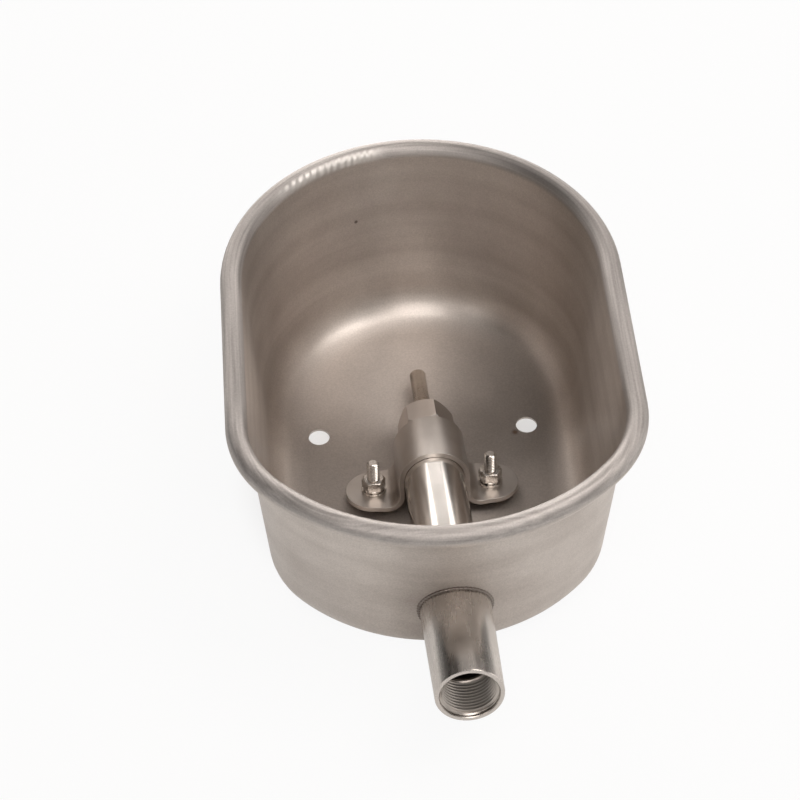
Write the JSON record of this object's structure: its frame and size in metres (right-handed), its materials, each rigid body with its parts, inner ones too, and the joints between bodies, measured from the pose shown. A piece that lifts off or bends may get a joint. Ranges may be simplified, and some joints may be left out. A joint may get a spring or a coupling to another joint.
{
  "type": "pig drinking bowl",
  "caption": "Deep oval steel animal drinking bowl with a rolled rim, a bite-operated nipple valve on a clamped water pipe, a threaded inlet and a flat back with mounting holes.",
  "frame": {"origin": "midpoint between the two mounting holes, on the flat back face of the bowl", "axes": "+X across the bowl, +Y the way the nipple's pin points and away from the water inlet, +Z from the back face to the open rim"},
  "size_m": [0.19, 0.3028, 0.105],
  "materials": {
    "bowl_steel": "satin pressed stainless, lightly worn",
    "pipe_steel": "polished stainless tube",
    "socket_steel": "turned stainless",
    "weld_steel": "as welded",
    "valve_steel": "turned and milled stainless",
    "pin_steel": "turned stainless bar",
    "strap_steel": "bent stainless strip",
    "stud_steel": "rolled thread",
    "fastener_steel": "stainless fastener",
    "spring_wire": "drawn wire and stamped ring",
    "seal_rubber": "matt",
    "cup_plastic": "moulded",
    "strainer_plastic": "moulded"
  },
  "bodies": {
    "bowl": {"bowl_shell": "bowl_steel", "inlet_pipe": "pipe_steel", "inlet_socket": "socket_steel", "socket_weld": "weld_steel", "pipe_end_bush": "pipe_steel", "body_gasket": "seal_rubber", "valve_body": "valve_steel", "seat_seal": "seal_rubber", "valve_spring": "spring_wire", "spring_retainer": "spring_wire", "strainer": "strainer_plastic", "saddle_clamp": "strap_steel", "clamp_stud_left": "stud_steel", "plain_washer_left": "fastener_steel", "lock_washer_left": "fastener_steel", "clamp_nut_left": "fastener_steel", "clamp_stud_right": "stud_steel", "plain_washer_right": "fastener_steel", "lock_washer_right": "fastener_steel", "clamp_nut_right": "fastener_steel"},
    "plunger": {"spring_cup": "cup_plastic"},
    "pin": {"valve_pin": "pin_steel"}
  },
  "joints": [
    {"name": "pin_push", "type": "slide", "parent": "bowl", "child": "plunger", "axis": [0.0224, -0.9874, 0.1564], "range_m": [0, 0.0025], "stiffness_N_per_m": 800, "springref_m": -0.003, "deforming": ["valve_spring"]},
    {"name": "pin_tilt", "type": "hinge", "parent": "plunger", "child": "pin", "pos_m": [0.00071, -0.01646, 0.01717], "axis": [0.9997, 0.0227, 0], "range_deg": [-3.5, 3.5], "stiffness_Nm_per_rad": 2}
  ]
}
